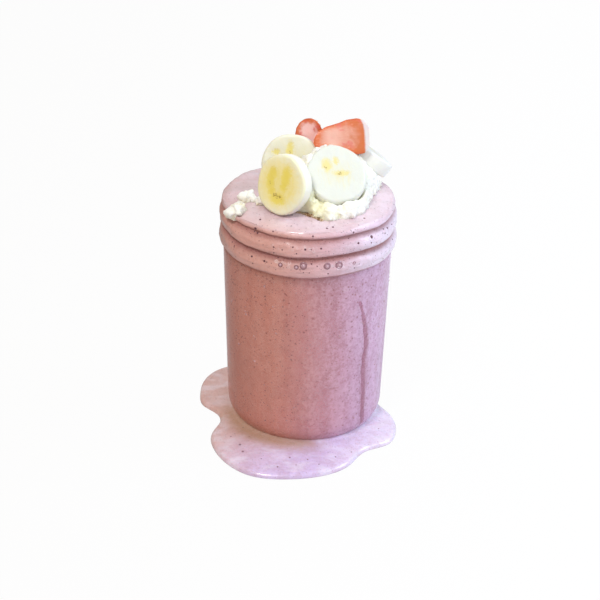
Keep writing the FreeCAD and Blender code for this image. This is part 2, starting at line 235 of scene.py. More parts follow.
class Sheet:
    """The node tree of a material or of the world, with one method that makes any node."""

    def __init__(self, name, owner=None):
        self.owner = owner or bpy.data.materials.new(name)
        self.owner.use_nodes = True
        self.tree = self.owner.node_tree
        self.tree.nodes.clear()

    def node(self, kind, settings=None, *values, out=0, **named):
        """Any node: its settings first, then the values or links of its sockets."""
        made = self.tree.nodes.new(kind)
        for key, value in (settings or {}).items():
            setattr(made, key, value)
        live = [socket for socket in made.inputs if socket.enabled]
        for socket, value in zip(live, values):
            self.feed(socket, value)
        for key, value in named.items():
            self.feed(next(s for s in live if s.name == key.replace("_", " ")), value)
        shown = [socket for socket in made.outputs if socket.enabled]
        if isinstance(out, str):
            return Flow(self, next(s for s in shown if s.name == out))
        return Flow(self, shown[out])

    def feed(self, socket, value):
        if isinstance(value, Flow):
            self.tree.links.new(value.socket, socket)
        elif value is not None:
            colour_of_three = socket.type == "RGBA" and len(tuple(value)) == 3
            socket.default_value = (*value, 1.0) if colour_of_three else value

    def place(self, scale=1.0 / MM):
        """The piece's own coordinates, in millimetres."""
        own = self.node("ShaderNodeTexCoord", out="Object")
        return self.node("ShaderNodeVectorMath", {"operation": "SCALE"}, own, Scale=scale)

    def parts(self, vector):
        split = self.node("ShaderNodeSeparateXYZ", None, vector).socket.node
        return [Flow(self, split.outputs[axis]) for axis in ("X", "Y", "Z")]

    def vector(self, operation, first, second):
        return self.node("ShaderNodeVectorMath", {"operation": operation}, first, second)

    def attribute(self, name):
        return self.node("ShaderNodeAttribute", {"attribute_name": name}, out="Fac")

    def ray(self, kind):
        """1 for rays of one kind, 0 for others."""
        return self.node("ShaderNodeLightPath", out=f"Is {kind} Ray")

    def noise(self, vector, scale, detail=3.0, roughness=0.55, distortion=0.0,
              stretch=(1.0, 1.0, 1.0)):
        if stretch != (1.0, 1.0, 1.0):
            vector = self.vector("MULTIPLY", vector, stretch)
        return self.node("ShaderNodeTexNoise", {"noise_dimensions": "3D"}, Vector=vector,
                         Scale=scale, Detail=detail, Roughness=roughness, Distortion=distortion)

    def cells(self, vector, scale, out="Distance"):
        return self.node("ShaderNodeTexVoronoi", {"feature": "F1"}, Vector=vector, Scale=scale,
                         Randomness=1.0, out=out)

    def blend(self, share, first, second, kind="MIX"):
        """Colour mix."""
        return self.node("ShaderNodeMix", {"data_type": "RGBA", "blend_type": kind},
                         share, first, second)

    def layer(self, shade, *coats):
        """Tones laid over a shade in turn, each by its own share and perhaps its own kind."""
        for share, *tone in coats:
            shade = self.blend(share, shade, *tone)
        return shade

    def bump(self, height, distance, strength):
        return self.node("ShaderNodeBump", None, Strength=strength, Distance=distance,
                         Height=height)

    def specks(self, vector, scale, size, share):
        """Round specks: one in some of the cells, each smaller than its cell."""
        chosen = self.parts(self.cells(vector, scale, out="Color"))[0] < share
        return self.cells(vector, scale).between(size, size * 0.45) * chosen

    def shader(self, base, roughness, normal=None, coat=0.0, coat_roughness=0.1, subsurface=0.0,
               radius=(1.0, 0.4, 0.3), depth=1.0 * MM, alpha=None, ior=1.4, specular=0.5,
               transmission=0.0):
        return self.node(
            "ShaderNodeBsdfPrincipled", {"subsurface_method": "RANDOM_WALK"}, Base_Color=base,
            Roughness=roughness, Normal=normal, IOR=ior, Coat_Weight=coat,
            Coat_Roughness=coat_roughness, Alpha=alpha, Subsurface_Weight=subsurface,
            Subsurface_Radius=radius, Subsurface_Scale=depth, Specular_IOR_Level=specular,
            Transmission_Weight=transmission)

    def finish(self, shader, kind="ShaderNodeOutputMaterial"):
        out = self.tree.nodes.new(kind)
        self.tree.links.new(shader.socket, out.inputs["Surface"])
        return self.owner


# ---------------------------------------------------------------- mesh helpers

def polar(angle, away=1.0, height=0.0):
    """Point at an angle round the axis."""
    return Vector((math.cos(angle) * away, math.sin(angle) * away, height))


def upright(normal):
    """Rotation that turns +Z to the normal."""
    return UP.rotation_difference(Vector(normal)).to_matrix()


def make_object(name, points, faces, *materials, smooth=True):
    mesh = bpy.data.meshes.new(name)
    mesh.from_pydata([tuple(point) for point in points], [], faces)
    mesh.validate()
    for material in materials:
        mesh.materials.append(material)
    if smooth:
        mesh.shade_smooth()
    piece = bpy.data.objects.new(name, mesh)
    bpy.context.scene.collection.objects.link(piece)
    return piece


def join_parts(name, parts, *materials):
    """One object from many (points, faces)."""
    points, faces = [], []
    for some_points, some_faces in parts:
        base = len(points)
        points += some_points
        faces += [tuple(base + index for index in face) for face in some_faces]
    return make_object(name, points, faces, *materials)


def dress(piece, slot, *nodes):
    """The piece rides on the one body and stands for its nodes, which it hides."""
    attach(piece, "root")
    if nodes:
        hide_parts(*nodes)


def paint(piece, name, values):
    """A value for each point, which the piece's material reads."""
    held = piece.data.attributes.new(name, "FLOAT", "POINT")
    held.data.foreach_set("value", values)


def parts_of(mesh):
    """Points and faces of a mesh."""
    return ([vertex.co.copy() for vertex in mesh.vertices],
            [tuple(face.vertices) for face in mesh.polygons])


def tree_of(name):
    """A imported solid, or a piece made before, for rays."""
    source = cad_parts.get(name) or bpy.data.objects[name]
    return BVHTree.FromPolygons(*parts_of(source.data))


def reach(tree, degrees, height):
    """Radius at which a ray from outside towards the axis meets the solid."""
    out = polar(math.radians(degrees))
    hit = tree.ray_cast(out * RAY_OUT + UP * height, -out)[0]
    return 0.0 if hit is None else hit.xy.length


def facing(hit, way):
    """Spot of a hit, and its normal on the side that looks the given way."""
    spot, normal = hit[:2]
    return spot, normal if normal.dot(way) > 0 else -normal


def on_side(tree, degrees, height):
    """Spot and normal where a level ray, at a height in millimetres, meets a piece."""
    out = polar(math.radians(degrees))
    return facing(tree.ray_cast(out * RAY_OUT + UP * (height * MM), -out), out)


def on_top(tree, x, y):
    """Spot and normal where a ray from above meets a piece, at millimetres across."""
    return facing(tree.ray_cast(Vector((x * MM, y * MM, RAY_UP)), DOWN), UP)


def ring_faces(rings, around, closed_start=True, closed_end=True):
    """Quads between rings of points; the first and last ring may close on a single point."""
    faces = []
    for row in range(rings - 1):
        for column in range(around):
            a = row * around + column
            b = row * around + (column + 1) % around
            faces.append((a, b, b + around, a + around))
    tip, last = rings * around, (rings - 1) * around
    if closed_start:
        faces += [(tip, (c + 1) % around, c) for c in range(around)]
    if closed_end:
        tip += closed_start
        faces += [(tip, last + c, last + (c + 1) % around) for c in range(around)]
    return faces


def sheet_faces(rows, columns, start=0, front=True):
    """Quads of an open sheet of points, with the given number of quads each way."""
    faces, width = [], columns + 1
    for row in range(rows):
        for a in range(start + row * width, start + row * width + columns):
            faces.append((a, a + 1, a + 1 + width, a + width) if front
                         else (a, a + width, a + width + 1, a + 1))
    return faces


def reverse(faces):
    return [tuple(reversed(face)) for face in faces]


def lathe(profile, around, shape):
    """Points and faces of a turned form: profile runs from the axis, outwards and back to it."""
    points = []
    for away, height in profile[1:-1]:
        for column in range(around):
            angle = 2 * math.pi * column / around
            points.append(shape(polar(angle, away, height), angle))
    points += [Vector((0, 0, profile[0][1])), Vector((0, 0, profile[-1][1]))]
    return points, ring_faces(len(profile) - 2, around)


def smooth_path(corners, steps):
    """Catmull-Rom curve through the corners."""
    path = []
    padded = [corners[0], *corners, corners[-1]]
    for a, b, c, d in zip(padded, padded[1:], padded[2:], padded[3:]):
        for step in range(steps):
            t = step / steps
            path.append(tuple(
                0.5 * (2 * q + (r - p) * t + (2 * p - 5 * q + 4 * r - s) * t * t
                       + (3 * q - p - 3 * r + s) * t ** 3)
                for p, q, r, s in zip(a, b, c, d)))
    return path + [tuple(corners[-1])]


def fractal(point, scale, octaves=3, seed=0.0):
    """Noise between about -1 and 1 that repeats nothing over the object."""
    shifted = Vector(point) * (scale / MM) + Vector((seed, seed * 1.7, seed * 0.6))
    return noise.fractal(shifted, 0.9, 2.1, octaves)


def lump(centre, radius, squash, normal, rough, seed, rows=6, around=10):
    """Points and faces of a small uneven lump that is pressed flat along its normal."""
    turn = upright(normal)
    points = []
    for row in range(1, rows):
        tilt = math.pi * row / rows
        for column in range(around):
            way = polar(2 * math.pi * column / around, math.sin(tilt), math.cos(tilt))
            swell = 1 + rough * noise.noise(way * 1.6 + Vector((seed, 0, seed)))
            points.append(centre + turn @ (Vector((way.x, way.y, way.z * squash)) * radius * swell))
    tip = turn @ Vector((0, 0, squash * radius))
    return points + [centre + tip, centre - tip], reverse(ring_faces(rows - 1, around))


# ---------------------------------------------------------------- materials
# Lengths in these expressions are millimetres in the piece's own frame.

def open_sheet(name):
    """A material's sheet, the place on its piece, and that place's three parts."""
    sheet = Sheet(name)
    where = sheet.place()
    return sheet, where, *sheet.parts(where)


def milkshake_material(name, warm, cool, speckle, roughness, bump, coat, top=None, mottle=0.3,
                       lean=0.15, spread=(-16.0, 40.0), shade_tone=None, far=0.0, streaks=0.0):
    """Thick blended milkshake: mottled, with specks and pinholes, painted shade in its hollows and
    painted cool light on its right side.
    """
    sheet, where, x, y, z = open_sheet(name)
    cloud = sheet.noise(where, 0.09, 4.0, 0.6)
    grain = sheet.noise(where, 1.1, 4.0, 0.7)
    patch = sheet.noise(where, 0.34, 3.0, 0.6)
    foam = sheet.noise(where, 0.5, 4.0, 0.65, stretch=(0.5, 0.5, 1.5))
    fine = sheet.specks(where, 0.62, 0.24, 0.55)
    large = sheet.specks(where, 0.26, 0.14, 0.35)
    pits = sheet.specks(where, 0.9, 0.30, 0.5)
    hollow = sheet.attribute("hollow")

    # Painted cool light: the tone turns from the warm one to the cool one towards the right side.
    coats = [((x + (cloud - 0.5) * 14.0 - y * lean).between(*spread), cool)]
    # The top band: partly pale froth, partly painted cool light from above.
    if top is not None:
        coats.append((z.between(116.8, 120.6), top))
    # Painted light and shade on the sides: lilac painted light on the right, brown painted shade
    # along the far left edge of the body.
    if far:
        right = (x - y * 0.3).between(22.0, 44.0) * (1.0 - z.between(112.0, 120.0) * 0.6)
        left = (x + (cloud - 0.5) * 4.0).between(-35.5, -43.5) * z.between(60.0, 90.0)
        coats += [(right * far, PAINTED_LILAC_LIGHT), (left * far, PAINTED_EDGE_SHADE)]
    blotches = (cloud * 0.4 + patch * 0.3 + grain * 0.3).between(0.40, 0.62)
    # Painted shade: darker in the grooves and under the lip, and on the spill beside the jar; the
    # same mask dulls the gloss there.
    depth = (hollow + (foam - 0.5) * 0.35).between(0.1, 0.95)
    coats += [(blotches * mottle, MOTTLE, "MULTIPLY"),
              (depth * 0.85, shade_tone or colours().shake_shade),
              (grain.between(0.3, 0.75) * 0.12, PALE_GRAIN)]
    # Pale swirls on the spill, partly a painted sheen, kept out of the painted shade.
    if streaks:
        swirl = sheet.noise(where, 0.09, 3.0, 0.5, 0.6, stretch=(0.7, 1.3, 1.0))
        coats.append((swirl.between(0.44, 0.66) * (1.0 - hollow) * streaks, PALE_SWIRL_AND_SHEEN))
    coats += [(fine * (0.6 * speckle), colours().speck),
              (large * (0.75 * speckle), colours().speck)]

    shade = sheet.layer(warm, *coats)
    height = cloud * 0.5 + patch * 0.5 + grain * 0.2 - pits * 0.3 - large * 0.3 + foam * 0.3
    rough = roughness + grain * 0.12 + patch * 0.08 + hollow * 0.3
    gloss = (1.0 - hollow * 1.6).most(0.0) * coat
    return sheet.finish(sheet.shader(shade, rough, sheet.bump(height, bump, 0.9), coat=gloss,
                                     coat_roughness=0.18, subsurface=0.12,
                                     radius=(1.0, 0.55, 0.55), depth=2.0 * MM))


def misted_glass():
    """Clear glass under a film of fine condensation, with specks of berry behind it, painted cool
    light on its right and painted shade on its left.
    """
    sheet, where, x, y, z = open_sheet("misted_glass")
    film = sheet.noise(where, 0.12, 4.0, 0.6, stretch=(1.0, 1.0, 0.35))
    bands = sheet.noise(where, 0.13, 3.0, 0.5, stretch=(1.0, 1.0, 0.05))
    wisps = sheet.noise(where, 0.42, 4.0, 0.7, stretch=(0.35, 0.35, 1.5))
    grain = sheet.noise(where, 0.75, 5.0, 0.8)
    mottle = sheet.noise(where, 0.30, 4.0, 0.7)
    beads = sheet.cells(where, 1.15).between(0.5, 0.15)
    small = sheet.specks(where, 0.40, 0.26, 0.85)
    large = sheet.specks(sheet.vector("ADD", where, (31.0, 7.0, 3.0)), 0.20, 0.12, 0.6)
    specks = (small * (0.5 + z.between(30.0, 90.0) * 0.45)).most(large)
    # Painted cool light: towards the right the mist is painted lilac, with more of it and its wisps
    # showing.
    right = (x - y * 0.1 + (mottle - 0.5) * 6.0).between(-12.0, 38.0)

    # Painted shade: the mist darkens towards the left.
    left = (x + z * 0.15).between(-14.0, -33.0)
    blotches = (mottle * 0.3 + bands * 0.25 + grain * 0.45).between(0.42, 0.60)
    shade = sheet.layer(colours().mist, (right, colours().mist_cool_light), (beads * 0.12, BEADED),
                        (wisps.between(0.56, 0.72) * right * 0.45, LIT_WISPS))
    dark = sheet.blend(1.0, shade, MIST_SHADE_AND_MOTTLE, "MULTIPLY")
    shade = sheet.layer(shade, (left * 0.95, dark), (blotches * 0.8, dark),
                        (specks * 0.85, BERRY_BITS))

    cover = (0.24 + film.between(0.3, 0.75) * 0.14 + right * 0.26).most(specks * 0.9)
    normal = sheet.bump(beads * 0.6 + film * 0.5, 0.10 * MM, 0.5)
    mist = sheet.shader(shade, 0.32 + film * 0.2, normal, coat=0.25, coat_roughness=0.12,
                        ior=1.45)
    clear = sheet.shader(CLEAR, 0.06, normal, ior=1.42, transmission=1.0)
    passing = sheet.ray("Shadow").most(sheet.ray("Diffuse"))
    clear = sheet.node("ShaderNodeMixShader", None, passing, clear,
                       sheet.node("ShaderNodeBsdfTransparent"))
    return sheet.finish(sheet.node("ShaderNodeMixShader", None, cover, clear, mist))


def cream_material():
    """Whipped cream with yellowish folds, most of them low down and beside the front slice."""
    sheet, where, x, y, z = open_sheet("whipped_cream")
    folds = sheet.noise(where, 0.16, 4.0, 0.6)
    foam = sheet.noise(where, 1.6, 4.0, 0.65)
    pores = sheet.cells(where, 2.2)
    low = z.between(127.0, 119.0)
    yellow_patch = ((x - 4.0) ** 2.0 + (y + 25.0) ** 2.0) ** 0.5 + (folds - 0.5) * 9.0
    shade = sheet.layer(
        colours().cream, (folds.between(0.45, 0.7) * (0.25 + low * 0.5), colours().cream_shade),
        (yellow_patch.between(9.0, 3.0) * 0.7, colours().cream_shade))
    height = foam * 0.6 + pores.between(0.1, 0.6) * 0.3 + folds * 0.5
    return sheet.finish(sheet.shader(shade, 0.5, sheet.bump(height, 0.35 * MM, 0.7),
                                     subsurface=0.5, radius=(1.0, 0.95, 0.8), depth=3.5 * MM))


def banana_material(name, flesh, pale, core, strength, lobes, pips):
    """Slice of banana: pale rim, deeper flesh, seed lobes with pips, and fine rays."""
    sheet, where, x, y, z = open_sheet(name)
    away = (x * x + y * y) ** 0.5
    rays = (y.angle_from(x) * 26.0).cosine()
    mottle = sheet.noise(where, 0.45, 4.0, 0.6)
    fibre = sheet.noise(where, 1.3, 3.0, 0.6, stretch=(1.0, 1.0, 0.12))
    streaks = sheet.noise(where, 0.55, 3.0, 0.6, stretch=(1.0, 0.25, 0.4))
    face = z.between(-1.4, -0.7)
    drift_x, drift_y = x + (mottle - 0.5) * 4.6, y + (fibre - 0.5) * 4.6

    def marks(spots):
        """Share of the nearest of some upright ovals: 1 in the middle, 0 at the edge."""
        found = None
        for left, up, wide, tall in spots:
            oval = 1.0 - ((drift_x - left) / wide) ** 2.0 - ((drift_y - up) / tall) ** 2.0
            found = oval if found is None else found.most(oval)
        return found

    heart = marks(lobes).between(-3.6, 0.9)
    seeds = (marks(pips) + (fibre - 0.5) * 1.8).between(0.1, 0.9)
    paleness = away * 0.1 + mottle * 0.6 + rays * 0.03 + x * 0.012
    streaks = streaks.between(0.48, 0.66) * away.between(12.0, 6.0)
    shade = sheet.layer(
        flesh, (paleness.between(1.0, 1.7), pale),
        (away.between(10.0, 1.0) * 0.45 * strength * face, sheet.blend(0.5, flesh, core)),
        (streaks * 0.5 * strength * face, sheet.blend(0.6, flesh, core)),
        (heart * strength * face, core), (seeds * min(1.0, strength * 0.8) * face, PIP),
        ((1.0 - face) * 0.75, SLICE_EDGE))
    height = (mottle * 0.35 + rays * away.between(9.6, 12.6) * 0.05 - seeds * 0.4
              - heart * 0.25 + fibre * 0.25)
    return sheet.finish(sheet.shader(shade, 0.34 + mottle * 0.15,
                                     sheet.bump(height, 0.5 * MM, 0.6), coat=0.15,
                                     coat_roughness=0.25, subsurface=0.22,
                                     radius=(1.0, 0.8, 0.4), depth=2.5 * MM))


def strawberry_material(name, heart_tone, base_tone, pale_end):
    """Strawberry half: glossy skin, orange-red margin and a pale streaked heart."""
    sheet, where, x, y, z = open_sheet(name)
    depth = sheet.attribute("depth")
    streaks = sheet.noise(where, 0.9, 4.0, 0.65, 0.6, stretch=(1.6, 0.2, 0.35))
    patches = sheet.noise(where, 0.30, 3.0, 0.6)
    blots = sheet.noise(where, 0.22, 2.0, 0.5, 0.4)
    flesh = sheet.layer(
        colours().berry_flesh, ((depth + (patches - 0.5) * 0.9).between(0.15, 0.6), heart_tone),
        (streaks.between(0.5, 0.75) * 0.5, colours().berry_core),
        ((z + (blots - 0.5) * 14.0).between(8.5, 1.0) * 0.85, base_tone),
        (blots.between(0.56, 0.68) * 0.7, BLOTS))
    shade = sheet.layer(
        colours().berry_skin, (patches.between(0.35, 0.7) * 0.5, LIGHT_SKIN),
        (depth.between(0.01, 0.16), flesh))
    if pale_end:
        middle = z.between(8.5, 15.0) * z.between(20.5, 16.5) * depth.between(0.1, 0.5)
        right = x.most(0.0)
        cap = z + (patches - 0.5) * 1.2 - right * right * 0.03
        shade = sheet.layer(shade, (middle * 0.6, PALE_MIDDLE), (cap.between(0.7, -0.5), PALE_END))
    height = streaks * 0.4 + patches * 0.3
    return sheet.finish(sheet.shader(shade, 0.28 + patches * 0.15,
                                     sheet.bump(height, 0.5 * MM, 0.6), coat=0.35,
                                     coat_roughness=0.15, subsurface=0.2,
                                     radius=(1.0, 0.35, 0.2), depth=2.0 * MM))


def plain_wet(name, base, roughness=0.3, alpha=None, coat=0.4, variety=0.25):
    """Small wet bits, with a little variety in tone."""
    sheet = Sheet(name)
    tone = sheet.noise(sheet.place(), 0.8, 3.0, 0.6)
    darker = tuple(channel * 0.55 for channel in base)
    shade = sheet.blend(tone.between(0.35, 0.7) * variety * 2, base, darker)
    return sheet.finish(sheet.shader(shade, roughness + tone * 0.1,
                                     sheet.bump(tone, 0.1 * MM, 0.5), coat=coat, alpha=alpha))


def floor_material():
    """White floor that still takes a soft shadow, warm on the left and cool on the right."""
    sheet = Sheet("white_floor")
    grain = sheet.noise(sheet.place(), 0.02, 2.0)
    across = sheet.parts(sheet.place(1.0))[0]
    tone = sheet.layer(FLOOR_WARM, (across.between(-0.30, 0.22), FLOOR_COOL),
                       (grain * 0.05, FLOOR_GRAIN))
    matt = sheet.shader(tone, 0.75, specular=0.2)
    glow = sheet.node("ShaderNodeEmission", None, Color=WHITE, Strength=1.0)
    seen = sheet.ray("Camera").most(sheet.ray("Transmission")) * 0.965
    return sheet.finish(sheet.node("ShaderNodeMixShader", None, seen, matt, glow))


# ---------------------------------------------------------------- jar, milkshake and spill

class DressGlass(bpy.types.Operator):
    """Give the jar its misted glass"""

    bl_idname = "milkshake.dress_glass"
    bl_label = "Misted glass"

    def execute(self, context):
        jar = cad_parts["jar"]
        jar.data.materials.clear()
        jar.data.materials.append(misted_glass())
        return {"FINISHED"}


class PourMilkshake(bpy.types.Operator):
    """Milkshake in the jar, over its rim and in rolls round its neck"""

    bl_idname = "milkshake.pour_milkshake"
    bl_label = "Milkshake"

    around, roll_steps = 288, 90
    overhang = 21.5 * MM                    # from the jar's rim down to the overflow's lip
    floor_outline = ((0.0, 5.2), (18.0, 4.6), (27.5, 4.2), (30.0, 2.4))
    levels = (1.5, 2.4, 3.6, 5.2, 7.2, 9.6, 12.0, *(12.0 + 3.2 * step for step in range(1, 26)))
    heel_ends, heel_blend = 11.0, 14.0      # above the heel the milkshake meets the glass
    off_glass, into_glass = 0.9 * MM, 0.5 * MM
    lip_rounding, lip_tuck = 1.3 * MM, 0.8 * MM
    edge_over_rim, smallest_roll = 0.9 * MM, 30 * MM
    valleys = ((-2.6, 0.75), (-11.8, 1.0))  # level over the rim, and share of the groove depth

    def profile(self):
        """Wall, lip, two rolls, rounded edge and middle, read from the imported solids."""
        shake, glass = tree_of("milkshake"), tree_of("jar")
        self.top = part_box("jar")[1].z
        self.lip = self.top - self.overhang
        rows = [(away * MM, height * MM) for away, height in self.floor_outline]
        for height in self.levels:
            near = reach(glass, 90.0, height * MM) - self.off_glass
            within = reach(shake, 90.0, max(height, 6.0) * MM) + self.into_glass
            share = min(1.0, max(0.0, (height - self.heel_ends) / self.heel_blend))
            rows.append((near + (within - near) * share, height * MM))
        wall = rows[-1][0]
        rows += [(wall, self.lip - 0.6 * MM), (wall, self.lip - 0.5 * MM),
                 (reach(shake, 90.0, self.lip) - 0.9 * MM, self.lip - 0.55 * MM)]
        tall = self.top + self.edge_over_rim - self.lip
        for step in range(self.roll_steps + 1):
            height = self.lip + tall * step / self.roll_steps
            away = reach(shake, 90.0, height)
            if away > self.smallest_roll:
                lift = min(1.0, (height - self.lip) / self.lip_rounding)
                away -= self.lip_tuck * (1 - math.sqrt(1 - (1 - lift) ** 2))
                groove = self.groove(height - self.top) * sizes().groove_depth
                rows.append((away - groove, height))
        edge, self.edge_height = rows[-1]
        for t in (0.02, 0.05, 0.1, 0.16, 0.24, 0.33, 0.42, 0.52, 0.64, 0.76, 0.88, 1.0):
            rows.append((edge * (1 - t),
                         self.edge_height + sizes().middle_rise * (1 - (1 - t) ** 2)))
        return rows

    def groove(self, level):
        """Share of the groove depth at a level over the rim: sharp above, easy below."""
        share = 0.0
        for middle, weight in self.valleys:
            gap = (level - middle * MM) / MM
            width = 1.0 if gap > 0 else 2.5
            share += weight * math.exp(-(gap / width) ** 2)
        return share

    def waver(self, point, angle):
        """The overflow wanders in and out, and hangs unevenly at its lower edge."""
        if point.z < self.lip:
            return point
        drift = sizes().coat_waver
        if point.z > self.edge_height:
            return point + UP * fractal(point, 0.07, 3, 2.0) * drift * 1.5
        out = polar(angle)
        swell = fractal((out.x * 14 * MM, out.y * 14 * MM, point.z * 1.4), 0.14, 3, 4.0)
        level = fractal((out.x * 40 * MM, out.y * 40 * MM, 0), 0.035, 2, 9.0)
        ripple = fractal(point, 0.30, 3, 12.0)
        return point + out * (drift * (swell + 0.3 * ripple)) + UP * (drift * 1.7 * level)

    def hollow(self, level):
        """Painted shade of the milkshake at a level: in the grooves and under the lip."""
        under_lip = math.exp(-((level - self.lip) / (0.9 * MM)) ** 2) * 0.7
        return max(under_lip, self.groove(level - self.top))

    def execute(self, context):
        rows = self.profile()
        points, faces = lathe(rows, self.around, self.waver)
        tone = colours()
        surface = milkshake_material(
            "milkshake", tone.shake, tone.shake_cool_light, speckle=0.8, roughness=0.24, bump=0.7 * MM,
            coat=0.8, top=tone.froth, mottle=0.45, far=0.6)
        behind = milkshake_material(
            "milkshake_behind_glass", tone.shake_inside, tone.shake_inside_cool_light, speckle=1.3,
            roughness=0.5, bump=0.25 * MM, coat=0.0, mottle=0.5)
        piece = make_object("milkshake_pour", points, faces, surface, behind)
        for face in piece.data.polygons:
            if face.center.z < self.lip - 0.7 * MM:
                face.material_index = 1
        depths = [self.hollow(level) for away, level in rows]
        paint(piece, "hollow", [depth for depth in depths[1:-1] for _ in range(self.around)]
              + [depths[0], depths[-1]])
        dress(piece, "milkshake", "milkshake")
        return {"FINISHED"}


class PourSpill(bpy.types.Operator):
    """Spilt milkshake round the foot"""

    bl_idname = "milkshake.pour_spill"
    bl_label = "Spill"

    around = 360
    under_jar, under_rim = 4.5 * MM, 0.5 * MM
    widest_rim, widest_skirt = 2.6 * MM, 3.4 * MM
    swell = 0.16 * MM

    def column(self, out, wall, edge, thick, climb):
        """Points from under the jar's foot, down its wall, over the pool and round its rim."""
        room = max(edge - wall, 1.0 * MM)
        rim, skirt = min(self.widest_rim, room * 0.6), min(self.widest_skirt, room * 0.35)
        flat = edge - rim - (wall + skirt)
        spots = [(wall - self.under_jar, 0.0)]
        for t in (0.0, 0.25, 0.5, 0.75, 1.0):
            spots.append((wall + skirt * t, thick + climb * (1 - t) ** 2.2))
        for t in (0.2, 0.4, 0.6, 0.8, 1.0):
            spots.append((wall + skirt + flat * t, thick))
        for t in (0.2, 0.4, 0.6, 0.75, 0.87, 0.95, 1.0):
            lean = t * math.pi / 2
            spots.append((edge - rim + rim * math.sin(lean),
                          thick * (0.12 + 0.88 * math.cos(lean))))
        spots.append((edge - self.under_rim, 0.0))
        points = [out * away + UP * height for away, height in spots]
        for point in points[1:-2]:
            point.z += self.swell * fractal(point, 0.05, 3, 6.0)
        return points

    def hollow(self, point):
        """Painted shade of the pool: beside the jar, and most of all at its front left."""
        near = max(0.0, 1 - max(0.0, point.xy.length - 40.0 * MM) / (14.0 * MM)) ** 1.2
        left = 0.5 - 0.5 * math.tanh((point.x + 0.35 * point.y + 6 * MM) / (12 * MM))
        front = 0.5 - 0.5 * math.tanh((point.y + 10 * MM) / (9 * MM))
        return min(1.0, near) * (0.06 + 0.82 * left * (0.35 + 0.65 * front))

    def execute(self, context):
        pool, jar = tree_of("puddle"), tree_of("jar")
        thick, climb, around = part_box("puddle")[1].z, sizes().meniscus, self.around
        columns = []
        for step in range(around):
            degrees = 360.0 * step / around
            wall = reach(jar, degrees, thick + climb) - 0.3 * MM
            edge = reach(pool, degrees, 0.45 * MM)
            columns.append(self.column(polar(math.radians(degrees)), wall, edge, thick, climb))
        rows = list(zip(*columns))
        points = [point for row in rows for point in row]
        faces = reverse(ring_faces(len(rows), around, False, False))
        under = (len(rows) - 1) * around
        for a in range(around):
            b = (a + 1) % around
            faces.append((a, b, under + b, under + a))
        material = milkshake_material(
            "spilt_milkshake", colours().spill, colours().spill_cool_light, speckle=0.4, roughness=0.14,
            bump=0.55 * MM, coat=0.9, mottle=0.65, lean=0.6, spread=(-38.0, 32.0),
            shade_tone=colours().spill_shade, far=0.5, streaks=0.42)
        piece = make_object("milkshake_spill", points, faces, material)
        paint(piece, "hollow", [self.hollow(point) for point in points])
        dress(piece, "spill", "puddle")
        return {"FINISHED"}


# ---------------------------------------------------------------- cream

def ruffle(piece, height, seed):
    """Push a cream surface into peaks, folds and small curls."""
    moves = []
    for vertex in piece.data.vertices:
        broad = fractal(vertex.co, 0.13, 2, seed)
        puff = abs(fractal(vertex.co, 0.22, 2, seed + 5))
        crumb = abs(fractal(vertex.co, 0.62, 2, seed + 9))
        moves.append(vertex.normal * height * (0.4 * broad + 0.9 * puff + 0.42 * crumb - 0.45))
    for vertex, move in zip(piece.data.vertices, moves):
        vertex.co += move


def remesh(piece, voxel):
    """Apply a voxel remesh and a light smoothing."""
    voxels = piece.modifiers.new("voxels", "REMESH")
    voxels.mode = "VOXEL"
    voxels.voxel_size = voxel
    relax = piece.modifiers.new("relax", "SMOOTH")
    relax.iterations = 3
    relax.factor = 0.5
    graph = bpy.context.evaluated_depsgraph_get()
    made = bpy.data.meshes.new_from_object(piece.evaluated_get(graph))
    piece.modifiers.clear()
    piece.data = made
    made.shade_smooth()


def whip(name, parts, voxel, height, seed, material, node):
    """Lumps of cream melted into one ruffled piece."""
    piece = join_parts(name, parts)
    remesh(piece, voxel)
    ruffle(piece, height, seed)
    piece.data.materials.append(material)
    dress(piece, "cream", node)


